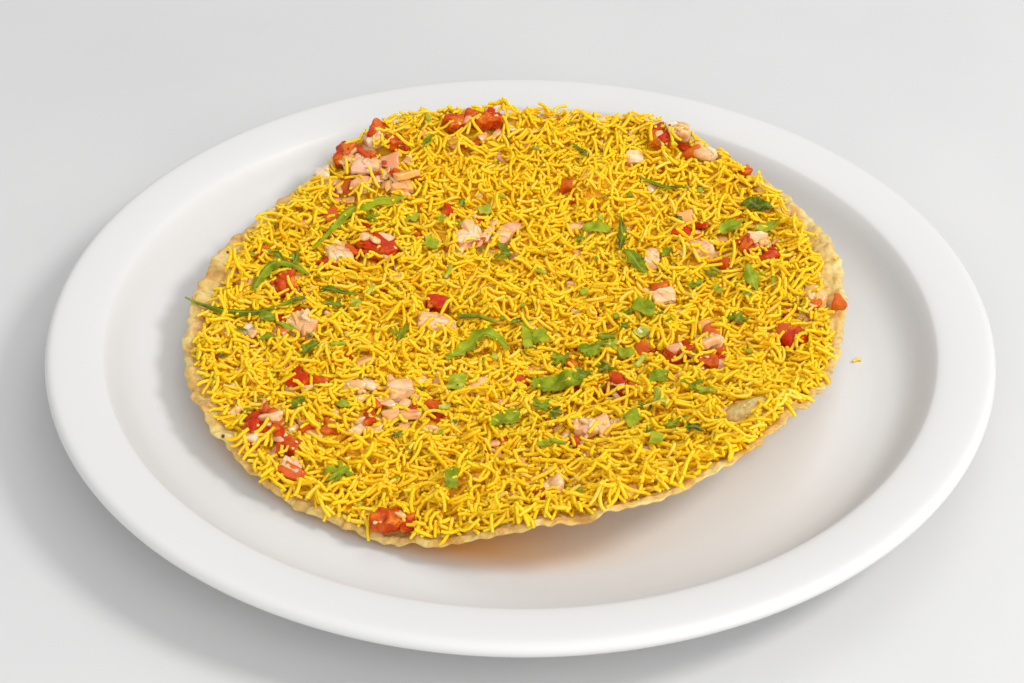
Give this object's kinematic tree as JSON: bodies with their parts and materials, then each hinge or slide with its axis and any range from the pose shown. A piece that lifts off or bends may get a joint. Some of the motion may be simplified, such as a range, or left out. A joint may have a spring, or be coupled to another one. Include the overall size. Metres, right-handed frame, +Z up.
{
  "type": "masala papad on plate",
  "caption": "Fried papad curled into a shallow saddle on a thick white plate, heaped with fine yellow sev, chopped tomato, onion and coriander.",
  "frame": {"origin": "middle of the plate's foot, on the surface that the plate stands on", "axes": "+Z up, -Y is the front that the shown side faces, +X to the right"},
  "size_m": [0.27, 0.27, 0.0345],
  "materials": {
    "plate_glaze": "white glaze, smooth and glossy",
    "papad": "fried lentil wafer, cream to tan, blistered, slightly oily",
    "sev": "fried gram-flour threads, bright yellow, dry with a faint oily sheen",
    "tomato": "wet chopped tomato, red skin and paler flesh",
    "onion": "moist chopped onion, translucent white to pink, stained by the spices",
    "coriander": "fresh chopped leaf, soft sheen"
  },
  "bodies": {
    "root": {"plate": "plate_glaze", "papad": "papad", "sev_topping": "sev", "tomato_1": "tomato", "tomato_2": "tomato", "tomato_3": "tomato", "tomato_4": "tomato", "tomato_5": "tomato", "tomato_6": "tomato", "tomato_7": "tomato", "tomato_8": "tomato", "tomato_9": "tomato", "tomato_10": "tomato", "tomato_11": "tomato", "tomato_12": "tomato", "tomato_13": "tomato", "tomato_14": "tomato", "tomato_15": "tomato", "tomato_16": "tomato", "onion_1": "onion", "onion_2": "onion", "onion_3": "onion", "onion_4": "onion", "onion_5": "onion", "onion_6": "onion", "onion_7": "onion", "onion_8": "onion", "onion_9": "onion", "onion_10": "onion", "onion_11": "onion", "onion_12": "onion", "onion_13": "onion", "onion_14": "onion", "onion_15": "onion", "onion_16": "onion", "onion_17": "onion", "onion_18": "onion", "coriander_1": "coriander", "coriander_2": "coriander", "coriander_3": "coriander", "coriander_4": "coriander", "coriander_5": "coriander", "coriander_6": "coriander", "coriander_7": "coriander", "coriander_8": "coriander", "coriander_9": "coriander", "coriander_10": "coriander", "coriander_11": "coriander", "coriander_12": "coriander", "coriander_13": "coriander", "coriander_14": "coriander", "coriander_15": "coriander", "coriander_16": "coriander", "coriander_strip_1": "coriander", "coriander_strip_2": "coriander", "coriander_strip_3": "coriander", "coriander_strip_4": "coriander", "coriander_strip_5": "coriander", "coriander_strip_6": "coriander"}
  },
  "joints": []
}
